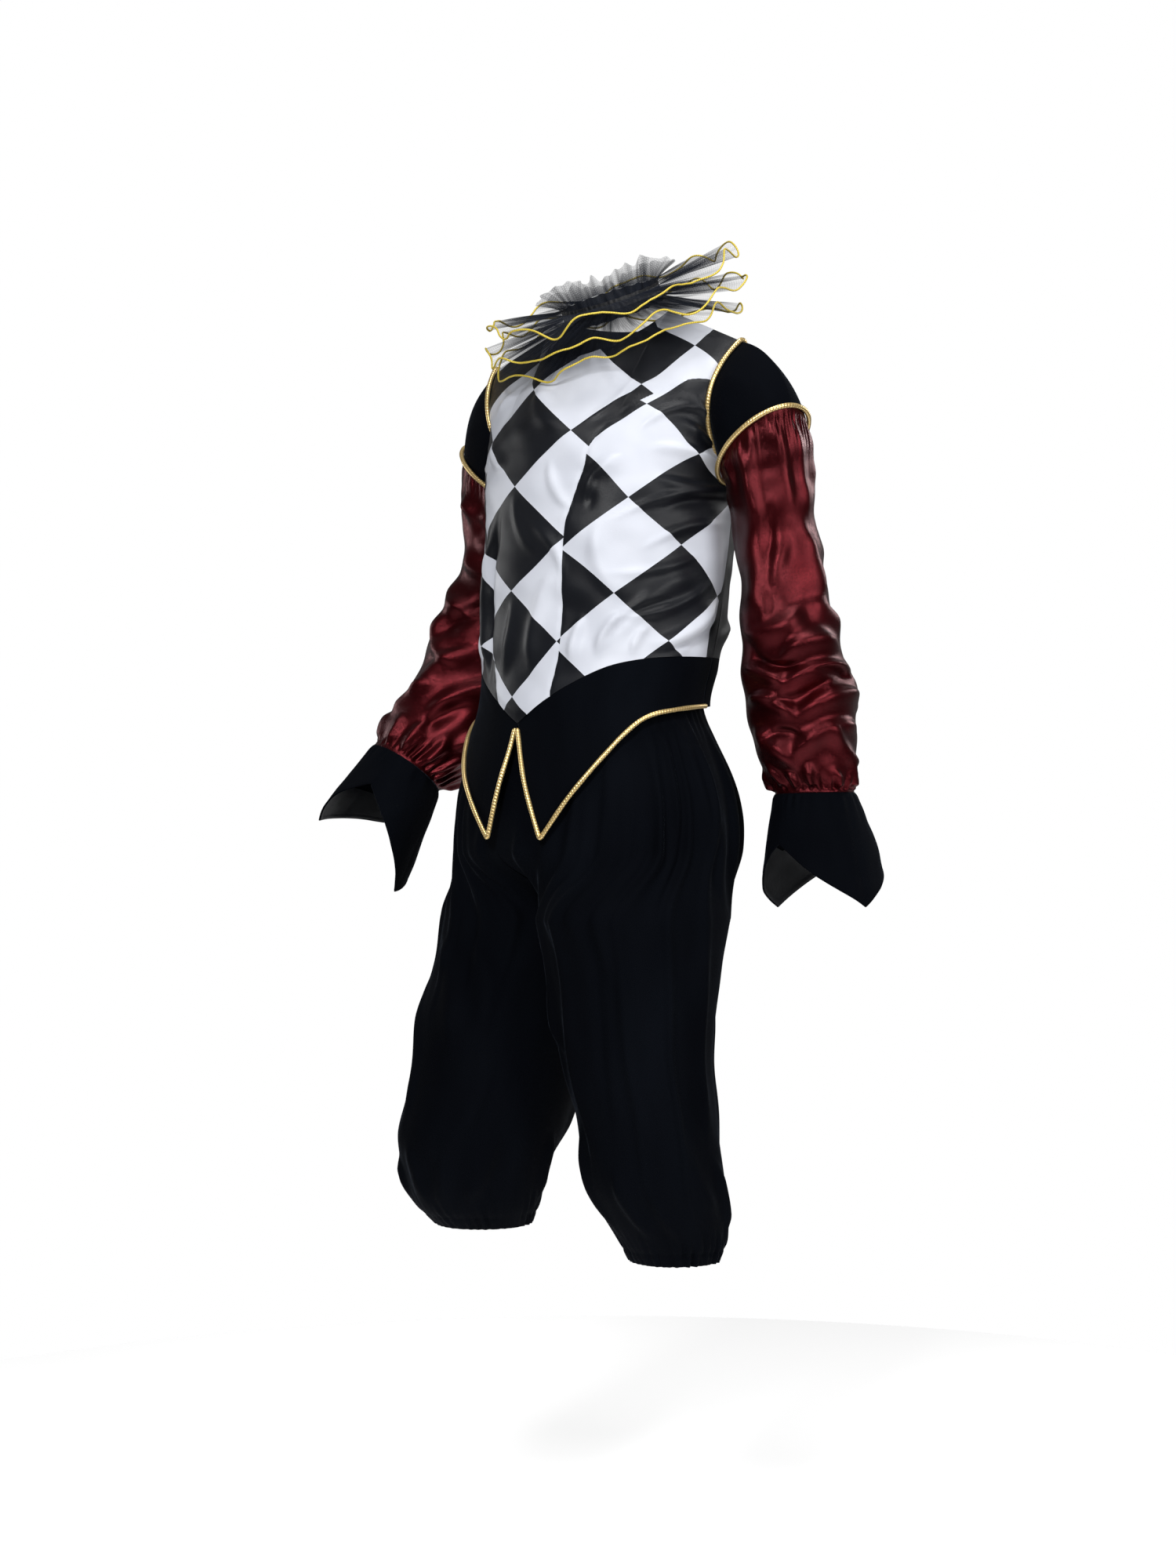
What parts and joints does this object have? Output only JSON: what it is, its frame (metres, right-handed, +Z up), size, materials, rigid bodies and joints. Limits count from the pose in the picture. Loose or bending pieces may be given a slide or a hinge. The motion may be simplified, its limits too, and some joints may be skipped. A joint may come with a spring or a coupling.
{
  "type": "jester costume",
  "caption": "Worn jester costume: satin top with a diamond front, wine sleeves, velvet caps, cuffs, pointed basque and knee breeches, and a net ruff with corded edges.",
  "frame": {"origin": "middle of the neck's base, where the wearer's shoulders carry the top", "axes": "+Z up, -Y the wearer's front, +X the wearer's left"},
  "size_m": [0.7058, 0.4169, 1.2605],
  "materials": {
    "satin_print": "satin weave, black and white diamonds",
    "satin_black": "satin weave",
    "satin_wine": "satin weave",
    "velvet_black": "velvet pile",
    "net_black": "open net",
    "gold_piping": "metallic braid",
    "gold_cord": "twisted cord"
  },
  "bodies": {
    "root": {"bodice_front": "satin_print", "bodice_back": "satin_black", "basque_back": "velvet_black", "cap_left": "velvet_black", "sleeve_left": "satin_wine", "cuff_left": "velvet_black", "cuff_facing_left": "satin_black", "piping_armhole_left": "gold_piping", "piping_cap_left": "gold_piping", "basque_front_left": "velvet_black", "piping_basque_left": "gold_piping", "leg_left": "velvet_black", "cap_right": "velvet_black", "sleeve_right": "satin_wine", "cuff_right": "velvet_black", "cuff_facing_right": "satin_black", "piping_armhole_right": "gold_piping", "piping_cap_right": "gold_piping", "basque_front_right": "velvet_black", "piping_basque_right": "gold_piping", "leg_right": "velvet_black", "ruff_band": "satin_black", "ruff_frill": "net_black", "ruff_upper": "net_black", "ruff_cord_upper": "gold_cord", "ruff_middle": "net_black", "ruff_cord_middle": "gold_cord", "ruff_lower": "net_black", "ruff_cord_lower": "gold_cord"}
  },
  "joints": []
}
